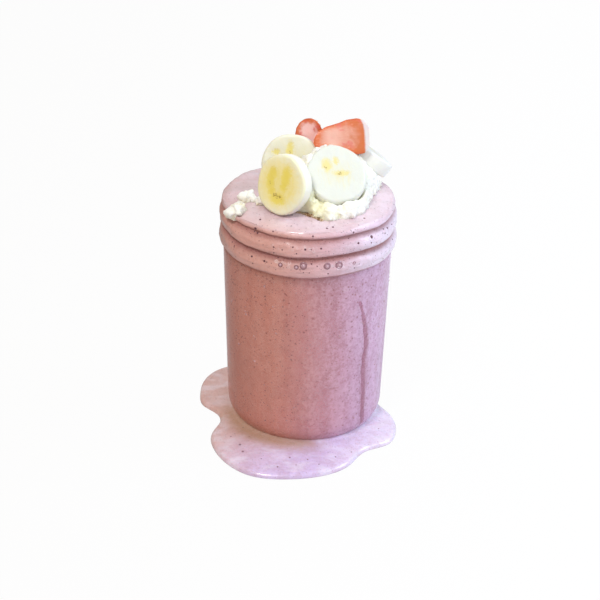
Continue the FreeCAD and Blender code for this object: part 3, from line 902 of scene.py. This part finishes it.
class WhipCream(bpy.types.Operator):
    """Whipped cream heaped under and between the fruit"""

    bl_idname = "milkshake.whip_cream"
    bl_label = "Whipped cream"

    tucks = ((0.8, -6.0, 139.6, 3.6), (3.5, -1.5, 142.0, 3.2), (7.5, 0.5, 142.4, 3.0),
             (-1.5, -9.0, 136.5, 3.4), (-0.5, -13.0, 134.5, 3.2), (0.3, -18.5, 129.5, 3.4),
             (1.5, -23.0, 125.5, 3.2), (12.0, 2.0, 142.5, 2.4))
    limits = ((-130, 25.0), (-115, 23.0), (-103, 24.2), (-93, 27.0), (-82, 27.2), (-66, 27.4),
              (-51, 26.4), (-40, 25.0), (-30, 23.0), (-18, 21.6), (-2, 21.8), (12, 25.5),
              (25, 30.5), (40, 36.0))

    def trim(self, piece):
        """Draw the heap in where it reaches past its limit at an angle round its middle."""
        middle = HEAP_MIDDLE.xy
        for vertex in piece.data.vertices:
            gap = vertex.co.xy - middle
            degrees = math.degrees(math.atan2(gap.y, gap.x))
            for (a, p), (b, q) in zip(self.limits, self.limits[1:]):
                limit = (p + (q - p) * (degrees - a) / (b - a)) * MM
                if a <= degrees < b and gap.length > limit:
                    spot = middle + gap * ((limit + (gap.length - limit) * 0.12) / gap.length)
                    vertex.co.x, vertex.co.y = spot

    def curd(self, tree, foot, seed, chance):
        """A small lump at the heap's foot, at an angle that chance gives, or nothing."""
        out = polar(math.radians(chance.uniform(0.0, 360.0)))
        level = UP * (foot + chance.uniform(0.0, 3.0) * MM)
        hit = tree.ray_cast(HEAP_MIDDLE + out * 0.1 + level, -out)[0]
        radius = chance.uniform(0.9, 2.2) * MM
        if hit is None:
            return []
        centre = hit - out * radius * chance.uniform(0.2, 1.0)
        centre.z += chance.uniform(-1.2, 0.6) * MM
        return [lump(centre, radius, chance.uniform(0.6, 1.0), (chance.uniform(-1, 1), -1, 1),
                     0.5, seed)]

    def execute(self, context):
        chance = random.Random(11)
        parts = [parts_of(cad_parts["whipped_cream"].data)]
        for x, y, z, radius in self.tucks:
            parts.append(lump(Vector((x, y, z)) * MM, radius * MM, 0.9, (0.2, -0.5, 1), 0.4,
                              x + z))
        heap = join_parts("heap", parts)
        remesh(heap, sizes().cream_voxel * 1.6)
        self.trim(heap)
        parts = [parts_of(heap.data)]
        tree = BVHTree.FromPolygons(*parts[0])
        bpy.data.objects.remove(heap)
        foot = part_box("whipped_cream")[0].z + 1.6 * MM
        for number in range(sizes().curds):
            parts += self.curd(tree, foot, number, chance)
        whip("whipped_cream_heap", parts, sizes().cream_voxel, sizes().cream_ruffle, 3.0,
             cream_material(), "whipped_cream")
        return {"FINISHED"}


class DabCream(bpy.types.Operator):
    """Small dabs of cream on the left, trailing into one another"""

    bl_idname = "milkshake.dab_cream"
    bl_label = "Cream dabs"

    drift = ((0.0, -3.0, -0.4), (0.8, -1.4, -1.8), (2.0, -2.0, -0.2))
    trails_to = (2, 0, 0)

    def execute(self, context):
        chance = random.Random(23)
        material = cream_material()
        middles = [sum(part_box(name), Vector()) / 2 + Vector(move) * MM
                   for name, move in zip(DABS, self.drift)]
        for name, centre, following in zip(DABS, middles, self.trails_to):
            low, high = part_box(name)
            radius = (high.x - low.x) / 2
            parts = []
            for number in range(11):
                offset = Vector((chance.uniform(-1, 1), chance.uniform(-1, 1),
                                 chance.uniform(-0.9, 0.9))) * radius * 0.6
                parts.append(lump(centre + offset, radius * chance.uniform(0.42, 0.68),
                                  chance.uniform(0.7, 1.0), (chance.uniform(-1, 1), 0.3, 1), 0.5,
                                  number + 3.0))
            for number in range(7):
                spot = centre.lerp(middles[following], 0.12 + 0.07 * number)
                jitter = Vector((chance.uniform(-1, 1), chance.uniform(-1, 1),
                                 chance.uniform(-0.6, 1))) * 0.7 * MM
                parts.append(lump(spot + jitter, radius * (0.5 - 0.035 * number), 0.9,
                                  (0, 0.2, 1), 0.5, number + 20.0))
            whip(f"{name}_dollop", parts, 0.3 * MM, sizes().cream_ruffle * 0.55, radius / MM,
                 material, name)
        return {"FINISHED"}


# ---------------------------------------------------------------- fruit

def flat_side(mesh, sides):
    """Faces and normal of a solid's largest flat side; of two sides, the one seen from above."""
    areas = {}
    for face in mesh.polygons:
        key = tuple(round(part, 2) for part in face.normal)
        areas[key] = areas.get(key, 0.0) + face.area
    flats = [Vector(key) for key in sorted(areas, key=areas.get, reverse=True)[:sides]]
    shown = max(flats, key=lambda flat: flat.dot(Vector((0.2, -0.7, 0.75)))).normalized()
    faces = [face for face in mesh.polygons if face.normal.dot(shown) > 0.999]
    return faces, sum((face.normal * face.area for face in faces), Vector()).normalized()


class SliceBananas(bpy.types.Operator):
    """Banana slices with a soft rim, a dished face and seed lobes"""

    bl_idname = "milkshake.slice_bananas"
    bl_label = "Banana slices"

    around = 96
    soft_rim, bulge, dishing = 1.3 * MM, 0.1 * MM, 0.25 * MM

    def slices(self):
        """Each slice's flesh, rim and core tones, their strength, its lobes and its pips (left,
        up, wide, tall), how wide and tall it is for its radius, and how far it is moved."""
        tone = colours()
        half_pale = tuple((2 * light + full) / 3
                          for light, full in zip(tone.banana_pale, tone.banana))
        # Painted light: the slices' flesh tones are lit copies of one flesh, palest on the right
        # and rear slices, which are in fuller light.
        return {
            "banana_slice_front": (
                tone.banana, (0.84, 0.82, 0.60), tone.banana_core, 0.9,
                ((-5.4, 1.2, 1.3, 3.0), (-4.6, 5.0, 1.4, 1.6), (2.4, 4.4, 1.5, 3.2),
                 (2.0, 0.4, 1.2, 2.0), (-0.4, -6.6, 2.6, 1.7), (-4.0, -3.6, 1.2, 1.3)),
                ((-0.4, -5.5, 2.7, 0.6), (-2.4, -5.0, 0.8, 0.8), (-5.2, 0.2, 0.3, 0.7)),
                (0.96, 1.06), (-1.4, 0.0, -0.6)),
            "banana_slice_back": (
                half_pale, (0.80, 0.79, 0.64), tone.banana_core, 0.75,
                ((-0.8, 6.8, 1.0, 2.4), (-7.2, 5.0, 1.2, 0.9), (4.0, -3.0, 1.6, 2.0)),
                ((-0.8, 5.0, 0.4, 0.9), (4.0, -3.0, 0.5, 1.0)),
                (1.0, 1.0), (0, 0, 0)),
            "banana_slice_right": (
                tone.banana_pale, tone.banana_pale, (0.80, 0.67, 0.20), 0.75,
                ((-4.2, 4.6, 1.4, 2.3), (2.2, -0.2, 2.6, 0.9), (0.2, 6.4, 0.8, 1.3)),
                ((-4.6, 3.1, 0.8, 0.9), (1.5, -0.2, 0.9, 0.8)),
                (1.0, 1.07), (-0.6, 0.5, 0.6)),
            "banana_slice_rear": (
                (0.84, 0.84, 0.78), (0.84, 0.84, 0.80), (0.80, 0.70, 0.40), 0.5,
                ((0.0, 4.0, 1.5, 2.5), (-3.5, -2.2, 2.2, 1.5), (3.5, -2.2, 2.2, 1.5)),
                ((0.0, 4.0, 0.5, 1.2), (-3.5, -2.2, 1.0, 0.5)),
                (1.0, 1.0), (0, 0, 0)),
        }

    def profile(self, radius, thickness):
        """Half outline of a slice, from the middle of its face to the middle of its back."""
        soft = self.soft_rim
        rows = [(radius * t, 0.0) for t in (0.0, 0.12, 0.25, 0.4, 0.55, 0.7, 0.82)]
        rows += [(radius - soft + soft * math.sin(a), -soft + soft * math.cos(a))
                 for a in (0.0, 0.3, 0.65, 1.0, 1.3, math.pi / 2)]
        rows += [(radius + self.bulge, -thickness * t) for t in (0.35, 0.5, 0.65)]
        rows += [(radius - soft + soft * math.cos(a), -thickness + soft - soft * math.sin(a))
                 for a in (0.0, 0.5, 1.0, math.pi / 2)]
        return rows + [(radius * t, -thickness) for t in (0.8, 0.5, 0.2, 0.0)]

    def execute(self, context):
        for number, (name, looks) in enumerate(self.slices().items()):
            *tones_and_marks, (wide, tall), nudge = looks
            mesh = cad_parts[name].data
            face, normal = flat_side(mesh, 2)
            centre = (sum((part.center * part.area for part in face), Vector())
                      / sum(part.area for part in face))
            away = [vertex.co - centre for vertex in mesh.vertices]
            thickness = -min(offset.dot(normal) for offset in away)
            radius = max((offset - normal * offset.dot(normal)).length for offset in away)

            def shape(point, angle):
                """Nearly round, with a few flats where the peel's ridges were."""
                seed = number * 1.9
                flats = 0.012 * math.cos(5 * angle + seed) + 0.008 * math.cos(3 * angle + 2 * seed)
                share = radius * (0.985 + flats) / radius
                dish = self.dishing * fractal(point, 0.16, 3, seed + 3)
                dish *= 1 if point.z > -MM else 0.4
                return Vector((point.x * share * wide, point.y * share * tall, point.z + dish))

            points, faces = lathe(self.profile(radius, thickness), self.around, shape)
            material = banana_material(f"banana_flesh_{number + 1}", *tones_and_marks)
            piece = make_object(f"{name}_cut", points, reverse(faces), material)
            side = UP.cross(normal).normalized()
            turn = Matrix((side, normal.cross(side), normal)).transposed()
            piece.matrix_world = (Matrix.Translation(centre + Vector(nudge) * MM)
                                  @ turn.to_4x4())
            dress(piece, "banana", name)
        return {"FINISHED"}


class CutStrawberries(bpy.types.Operator):
    """Strawberry halves with a moist cut face, and seeds in the skin"""

    bl_idname = "milkshake.cut_strawberries"
    bl_label = "Strawberries"

    plumpness = 0.92                        # depth of a half for its radius
    sunk = 0.35 * MM                        # the cut face lies this far behind the solid's
    dishing, grain = 0.42 * MM, 0.22 * MM   # relief of the cut face
    seed_rows, seed_radius = 7, 0.42 * MM
    # Way to the tip, tones of the face's heart and base, and the share of the radius at shares
    # of the length from the calyx to the tip.
    berries = {
        "strawberry_left": (
            (-0.17, 0.0, 1.0), (0.95, 0.60, 0.57), (0.93, 0.50, 0.46),
            ((0.0, 0.80), (0.15, 0.95), (0.34, 1.0), (0.55, 0.96), (0.75, 0.83), (0.88, 0.62),
             (0.96, 0.36), (1.0, 0.0))),
        "strawberry_right": (
            (-1.0, -0.04, -0.05), (0.74, 0.34, 0.24), (0.62, 0.15, 0.035),
            ((0.0, 0.45), (0.03, 0.72), (0.10, 0.93), (0.22, 1.0), (0.38, 0.93), (0.55, 0.78),
             (0.75, 0.62), (0.90, 0.47), (0.97, 0.28), (1.0, 0.0))),
    }

    def execute(self, context):
        for seed, (name, (tip, heart, base_tone, outline)) in enumerate(self.berries.items()):
            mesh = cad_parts[name].data
            face, front = flat_side(mesh, 1)
            rim = [mesh.vertices[index].co
                   for index in {index for part in face for index in part.vertices}]
            tip = Vector(tip)
            tip = (tip - front * tip.dot(front)).normalized()
            side = tip.cross(front).normalized()
            along, across = [p.dot(tip) for p in rim], [p.dot(side) for p in rim]
            plane = sum(p.dot(front) for p in rim) / len(rim)
            low, left, right = min(along), min(across), max(across)
            self.length, self.radius = max(along) - low, (right - left) / 2
            self.outline, self.left_one = outline, name == "strawberry_left"
            base = tip * low + side * (left + right) / 2 + front * plane
            turn = Matrix((side, -front, tip)).transposed()
            flesh = strawberry_material(f"{name}_flesh", heart, base_tone, not self.left_one)
            half = self.make_half(f"{name}_half", seed, flesh)
            golden = plain_wet(f"{name}_seed", (0.80, 0.55, 0.16), 0.35)
            seeds = join_parts(f"{name}_seeds", self.seeds(), golden)
            for piece in (half, seeds):
                piece.matrix_world = Matrix.Translation(base) @ turn.to_4x4()
            dress(half, "strawberry", name)
            dress(seeds, "strawberry")
        return {"FINISHED"}

    def width_at(self, t):
        """Share of the radius at a share of the length."""
        for (a, p), (b, q) in zip(self.outline, self.outline[1:]):
            if t <= b:
                s = (t - a) / (b - a)
                return p + (q - p) * (s * s * (3 - 2 * s) * 0.4 + s * 0.6)
        return 0.0

    def bend(self, point):
        """Lean away from a straight half; the right berry has a long drooping tip."""
        t = point.z / self.length
        if self.left_one:
            return point + Vector((1.5 * MM * (t - 0.45), 0.0, 0.0))
        droop = max(0.0, t - 0.68) ** 2
        return Vector((point.x - droop * 24 * MM, point.y - droop * 6 * MM,
                       -2.0 * MM + (self.length + 4.6 * MM) * t))

    def skin(self, rows, around, seed):
        """Points of the skin, row by row from the calyx to the tip."""
        points = []
        for row in range(rows + 1):
            t = row / rows
            away = self.radius * max(self.width_at(t), 0.01)
            for column in range(around + 1):
                lean = math.pi * column / around
                dent = 1 + 0.04 * noise.noise(Vector((math.cos(lean) * 2, t * 4, seed)))
                if self.left_one and lean < math.pi / 2:
                    dent += 0.5 * max(0.0, 1 - t / 0.55) ** 1.5 * math.cos(lean)
                points.append(Vector((
                    math.cos(lean) * away * dent,
                    math.sin(lean) * away * dent * self.plumpness + self.sunk,
                    self.length * t)))
        return points

    def make_half(self, name, seed, material):
        """Half berry: x across, -y the cut face, z from the calyx to the tip."""
        rows, around, across = 48, 36, 20
        width = around + 1
        points = self.skin(rows, around, seed)
        faces = sheet_faces(rows, around)
        depths = [0.0] * len(points)
        faces += sheet_faces(rows, across, len(points), front=False)
        for row in range(rows + 1):
            left, right = points[row * width + around], points[row * width]
            for column in range(across + 1):
                t = column / across
                point = right.lerp(left, t)
                margin = min(t * 2, 2 - t * 2, row / rows * 3, (1 - row / rows) * 3, 1.0)
                margin *= min(1.0, (right - left).length / self.radius)
                point.y -= self.dishing * (1 - (1 - margin) ** 3)
                point.y += self.grain * fractal(point, 0.25, 3, seed + 2.0) * margin
                points.append(point)
                depths.append(margin)
        faces.append(tuple(range(width)))
        piece = make_object(name, [self.bend(point) for point in points], faces, material)
        paint(piece, "depth", depths)
        body = bmesh.new()
        body.from_mesh(piece.data)
        bmesh.ops.remove_doubles(body, verts=body.verts, dist=0.02 * MM)
        bmesh.ops.recalc_face_normals(body, faces=body.faces)
        body.to_mesh(piece.data)
        body.free()
        piece.data.shade_smooth()
        return piece

    def seeds(self):
        """Small golden seeds set in rows over the skin."""
        parts = []
        for row in range(1, self.seed_rows + 1):
            t = 0.1 + row * 0.105
            share = self.width_at(t)
            away, many = self.radius * share, max(3, round(7 * share))
            for column in range(many):
                lean = math.pi * (column + 0.5 + 0.25 * (row % 2)) / (many + 0.5)
                spot = Vector((math.cos(lean) * away,
                               math.sin(lean) * away * self.plumpness + self.sunk,
                               self.length * t))
                parts.append(lump(self.bend(spot), self.seed_radius, 0.55,
                                  polar(lean, 1.0, 0.15), 0.2, column, 5, 8))
        return parts


# ---------------------------------------------------------------- water, bubbles and crumbs

class RunDrop(bpy.types.Operator):
    """Track of a drop down the misted glass, and beads of water"""

    bl_idname = "milkshake.run_drop"
    bl_label = "Water on the glass"

    across = 6
    film, crest = 0.04 * MM, 0.28 * MM      # thickness of the track at its edge and its middle
    track = ((-51.5, 79.5), (-47.0, 70.0), (-44.6, 62.0), (-43.0, 53.0), (-44.4, 45.0),
             (-43.8, 35.0), (-42.4, 26.0), (-42.2, 15.0), (-41.0, 6.5))    # degrees, height

    def execute(self, context):
        jar = tree_of("jar")
        path = smooth_path(self.track, 8)
        points = []
        for number, (degrees, height) in enumerate(path):
            t = number / (len(path) - 1)
            width = sizes().run_width * (0.55 + 0.5 * min(1.0, t * 5)
                                         + 0.16 * math.sin(number * 0.9) + 0.1 * t)
            surface = reach(jar, degrees, height * MM)
            for column in range(self.across + 1):
                s = column / self.across * 2 - 1
                angle = math.radians(degrees) + s * width / 2 / surface
                ends = min(1.0, t * 8, (1 - t) * 20 + 0.3)
                lift = self.film + self.crest * (1 - s * s) * ends
                points.append(polar(angle) * (surface + lift) + UP * (height * MM))
        faces = sheet_faces(len(path) - 1, self.across, front=False)
        material = plain_wet("water_run", (0.47, 0.17, 0.25), 0.2, alpha=0.5, coat=0.6)
        dress(make_object("water_run", points, faces, material), "jar_glass")

        chance = random.Random(5)
        parts = []
        for number in range(sizes().droplets):
            degrees = chance.uniform(0.0, 360.0)
            height = chance.uniform(10.0, 92.0) * MM
            out = polar(math.radians(degrees))
            radius = (0.22 + 0.5 * chance.random() ** 3) * MM
            parts.append(lump(out * reach(jar, degrees, height) + UP * height, radius, 0.45, out,
                              0.25, number, 5, 9))
        beads = plain_wet("water_beads", (0.78, 0.52, 0.55), 0.25, alpha=0.4, coat=0.3)
        dress(join_parts("water_beads", parts, beads), "jar_glass")
        return {"FINISHED"}


class BlowBubbles(bpy.types.Operator):
    """Burst bubbles and berry specks in the rolls and on the spill"""

    bl_idname = "milkshake.blow_bubbles"
    bl_label = "Bubbles and specks"

    # Places round the rolls are degrees and a height, and spans of foam are two of each.
    bubbles = ((-106.7, 102.4, 0.95), (-96.6, 102.0, 1.0), (-92.3, 102.9, 1.5),
               (-77.5, 102.7, 1.4), (-69.8, 102.5, 1.55), (-59.5, 102.2, 0.8))
    foam_spans = ((-111.0, -92.0, 100.8, 104.2), (-78.0, -58.0, 101.0, 103.6),
                  (-112.0, -84.0, 110.2, 112.4), (-66.0, -52.0, 110.4, 112.6))
    big_specks = ((-27.7, 112.4, 0.55), (-45.6, 112.6, 0.75), (-56.9, 111.9, 0.55),
                  (-60.3, 117.6, 0.5), (-81.5, 111.6, 0.45), (-91.3, 111.2, 0.55),
                  (-86.7, 117.6, 0.45), (-125.1, 117.4, 0.6), (-124.4, 114.9, 0.5),
                  (-127.5, 102.7, 0.55), (-117.7, 102.5, 0.6), (-111.0, 111.0, 0.4))
    speckled = (97.5, 118.5)                # heights of the small specks
    top_specks = ((8.7, -36.5), (11.4, -35.0), (-22.0, -29.0), (26.0, -25.0))
    spilt_specks = ((-31.1, -40.9, 0.7), (-29.3, -46.8, 0.6), (-6.2, -51.0, 0.5),
                    (2.5, -52.4, 0.5), (-11.9, -58.7, 0.55), (16.1, -49.4, 0.5),
                    (-20.0, -52.5, 0.35), (-3.0, -57.0, 0.35), (8.0, -56.0, 0.4),
                    (24.0, -45.0, 0.4), (-36.0, -34.0, 0.4), (38.0, -24.0, 0.35))
    ring_outline = ((1.25, -0.10), (1.08, 0.06), (0.92, 0.12), (0.74, 0.03), (0.55, -0.02),
                    (0.3, -0.03))

    def speck(self, place, radius, seed, squash=0.3, rows=5, around=9):
        """A flat lump at a spot with a normal, with its radius in millimetres."""
        spot, normal = place
        return lump(spot, radius * MM, squash, normal, 0.5, seed, rows, around)

    def ring(self, centre, normal, radius):
        """A burst bubble: a low raised ring round a dimple."""
        turn, around = upright(normal), 20
        points = [centre + turn @ (polar(2 * math.pi * column / around, away, height) * radius)
                  for away, height in self.ring_outline for column in range(around)]
        points.append(centre + turn @ Vector((0, 0, -0.03 * radius)))
        return points, ring_faces(len(self.ring_outline), around, closed_start=False)

    def execute(self, context):
        pour, pool = tree_of("milkshake_pour"), tree_of("milkshake_spill")
        rings, hearts, glints, foam = [], [], [], []
        for degrees, height, radius in self.bubbles:
            spot, normal = on_side(pour, degrees, height)
            rings.append(self.ring(spot, normal, radius * MM))
            hearts.append(lump(spot, radius * 0.70 * MM, 0.16, normal, 0.3, degrees, 5, 14))
            # Painted highlight: a small pale lump on each bubble.
            glint = spot + normal * 0.11 * radius * MM + Vector((0.1, 0.0, 0.12)) * radius * MM
            glints.append(lump(glint, radius * 0.2 * MM, 0.4, normal, 0.2, degrees, 4, 8))
        chance = random.Random(17)
        for start, stop, low, high in self.foam_spans:
            for _ in range(11):
                spot, normal = on_side(pour, chance.uniform(start, stop),
                                       chance.uniform(low, high))
                foam.append(self.ring(spot, normal, chance.uniform(0.25, 0.7) * MM))
        specks = [self.speck(on_side(pour, degrees, height), radius, degrees)
                  for degrees, height, radius in self.big_specks]
        chance = random.Random(31)
        for number in range(sizes().specks):
            place = on_side(pour, chance.uniform(0, 360), chance.uniform(*self.speckled))
            specks.append(self.speck(place, 0.12 + 0.32 * chance.random() ** 2, number, 0.4,
                                     4, 7))
        specks += [self.speck(on_top(pour, x, y), 0.55, x) for x, y in self.top_specks]
        sunk = [self.speck(on_top(pool, x, y), radius, x) for x, y, radius in self.spilt_specks]

        dark = milkshake_material("bubble_ring", (0.24, 0.09, 0.085), (0.32, 0.15, 0.20),
                                  speckle=0.0, roughness=0.14, bump=0.1 * MM, coat=0.9)
        # The pale foam rings are partly paler foam and partly a painted highlight on the small
        # bubbles.
        pale = milkshake_material("bubble_foam", (0.74, 0.48, 0.44), (0.84, 0.66, 0.78),
                                  speckle=0.0, roughness=0.12, bump=0.1 * MM, coat=0.9)
        for name, parts, material, slot in (
                ("foam_rings", foam, pale, "milkshake"),
                ("bubble_rings", rings, dark, "milkshake"),
                ("bubble_hollows", hearts, plain_wet("bubble_hollow", (0.56, 0.33, 0.38)),
                 "milkshake"),
                ("bubble_glints", glints,
                 plain_wet("bubble_glint", (0.84, 0.68, 0.74), 0.2, variety=0.1), "milkshake"),
                ("sunk_specks", sunk, plain_wet("sunk_speck", (0.34, 0.20, 0.25), 0.4), "spill"),
                ("berry_specks", specks, plain_wet("berry_speck", colours().speck, 0.4),
                 "milkshake")):
            dress(join_parts(name, parts, material), slot)
        return {"FINISHED"}


class SmearJuiceAndShadow(bpy.types.Operator):
    """Brown juice at the foot of the cream, partly a painted contact shadow, and crumbs"""

    bl_idname = "milkshake.smear_juice"
    bl_label = "Juice at the cream"

    foot = ((-4.5, -22.5), (-0.5, -25.4), (3.0, -27.9), (6.5, -29.9), (11.0, -29.8))

    def execute(self, context):
        chance = random.Random(8)
        pour = tree_of("milkshake_pour")
        path = smooth_path(self.foot, 10)
        # The brown smear is partly juice and partly a painted contact shadow where the cream meets
        # the milkshake.
        juice = []
        for number in range(30):
            x, y = path[number]
            spot, _ = on_top(pour, x, y + chance.uniform(-0.3, 0.9))
            radius = chance.uniform(0.6, 1.1) * MM
            juice.append(lump(spot + UP * (0.1 * MM), radius, 0.45, (0.1, -0.2, 1), 0.6, number,
                              5, 9))
        material = plain_wet("brown_smear_and_shadow", (0.60, 0.43, 0.28), 0.35, coat=0.3)
        dress(join_parts("brown_smear_and_shadow", juice, material), "cream")
        crumbs = []
        for number in range(34):
            share = abs(chance.gauss(0.0, 0.16)) if number < 24 else chance.uniform(0.0, 0.7)
            x, y = path[min(30, int(9 + share * 30))]
            spot, _ = on_top(pour, x + chance.uniform(-0.8, 0.8), y + chance.uniform(-1.0, 0.8))
            crumbs.append(lump(spot + UP * (0.3 * MM), chance.uniform(0.25, 0.62) * MM, 0.7,
                               (chance.uniform(-1, 1), -0.2, 1), 0.7, number, 5, 8))
        material = plain_wet("brown_crumb", (0.24, 0.12, 0.04), 0.4, coat=0.2)
        dress(join_parts("brown_crumbs", crumbs, material), "cream")
        return {"FINISHED"}


# ---------------------------------------------------------------- stage

class SetStage(bpy.types.Operator):
    """White floor, soft lights and camera"""

    bl_idname = "milkshake.set_stage"
    bl_label = "Stage"

    floor_reach, floor_level = 6, -0.0002
    lit_spot = Vector((0.0, 0.0, 0.07))

    def studio(self, stage):
        """World: white to the camera, dim and warm on the left, bright and cool on the right."""
        sheet = Sheet("studio", bpy.data.worlds.new("studio"))
        x, y, z = sheet.parts(sheet.node("ShaderNodeTexCoord", out="Generated"))
        tint = sheet.blend((x + z * 0.35).between(-0.75, 0.75), stage.warm, stage.cool)
        glow, white = (sheet.node("ShaderNodeBackground", None, Color=tone, Strength=strength)
                       for tone, strength in ((tint, stage.ambient), (WHITE, 1.0)))
        return sheet.finish(
            sheet.node("ShaderNodeMixShader", None, sheet.ray("Camera"), glow, white),
            "ShaderNodeOutputWorld")

    def area(self, name, spot, power, size, tint):
        """A round lamp that looks at the jar."""
        light = bpy.data.lights.new(name, "AREA")
        light.shape = "DISK"
        light.size = size
        light.energy = power * 10
        light.color = tint
        lamp = bpy.data.objects.new(name, light)
        lamp.location = spot
        lamp.rotation_euler = (self.lit_spot - Vector(spot)).to_track_quat("-Z", "Y").to_euler()
        bpy.context.scene.collection.objects.link(lamp)

    def execute(self, context):
        scene, stage = context.scene, context.scene.milkshake_stage
        scene.view_settings.view_transform = "Standard"

        far = self.floor_reach
        corners = [(x, y, self.floor_level)
                   for x, y in ((-far, -far), (far, -far), (far, far), (-far, far))]
        floor = make_object("floor", corners, [(0, 1, 2, 3)], floor_material(), smooth=False)
        floor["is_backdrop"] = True

        scene.world = self.studio(stage)
        self.area("key_light", (0.85, -0.02, 0.80), stage.key, 0.6, (0.62, 0.78, 1.0))
        self.area("top_light", (-0.28, -0.55, 0.95), stage.fill, 0.22, (1.0, 0.98, 0.97))

        eye = bpy.data.cameras.new("camera")
        eye.lens = stage.lens
        eye.sensor_width = 36.0
        eye.clip_start = 0.05
        camera = bpy.data.objects.new("camera", eye)
        spot = Vector((0.0, -stage.distance, stage.height))
        aim = Vector((stage.aim_side, 0.0, stage.aim_height))
        look = (aim - spot).to_track_quat("-Z", "Y").to_matrix().to_4x4()
        camera.matrix_world = (Matrix.Translation(spot) @ look
                               @ Matrix.Rotation(stage.roll, 4, "Z"))
        scene.collection.objects.link(camera)
        scene.camera = camera
        return {"FINISHED"}


PIECES = (DressGlass, PourMilkshake, PourSpill, WhipCream, DabCream, SliceBananas,
          CutStrawberries, RunDrop, BlowBubbles, SmearJuiceAndShadow, SetStage)
GROUPS = {"milkshake_sizes": MilkshakeSizes, "milkshake_colours": MilkshakeColours,
          "milkshake_stage": MilkshakeStage}


class MilkshakePanel(bpy.types.Panel):
    """Lists the pieces of the milkshake"""

    bl_idname = "VIEW3D_PT_milkshake"
    bl_label = "Milkshake"
    bl_space_type = "VIEW_3D"
    bl_region_type = "UI"
    bl_category = "Milkshake"

    def draw(self, context):
        for piece in PIECES:
            self.layout.operator(piece.bl_idname)
        for name, group in GROUPS.items():
            box = self.layout.box()
            for key in group.__annotations__:
                box.prop(getattr(context.scene, name), key)


CLASSES = (*GROUPS.values(), *PIECES, MilkshakePanel)


def register():
    for kind in CLASSES:
        bpy.utils.register_class(kind)
    for name, group in GROUPS.items():
        setattr(bpy.types.Scene, name, PointerProperty(type=group))


def unregister():
    for name in GROUPS:
        delattr(bpy.types.Scene, name)
    for kind in reversed(CLASSES):
        bpy.utils.unregister_class(kind)


def main():
    """Make every piece in order."""
    register()
    for piece in PIECES:
        group, name = piece.bl_idname.split(".")
        getattr(getattr(bpy.ops, group), name)()
    low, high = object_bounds()
    ({"cad": [list(CAD_LOW), list(CAD_HIGH)],
               "visual": [list(low), list(high)]})


if __name__ == "__main__":
    main()
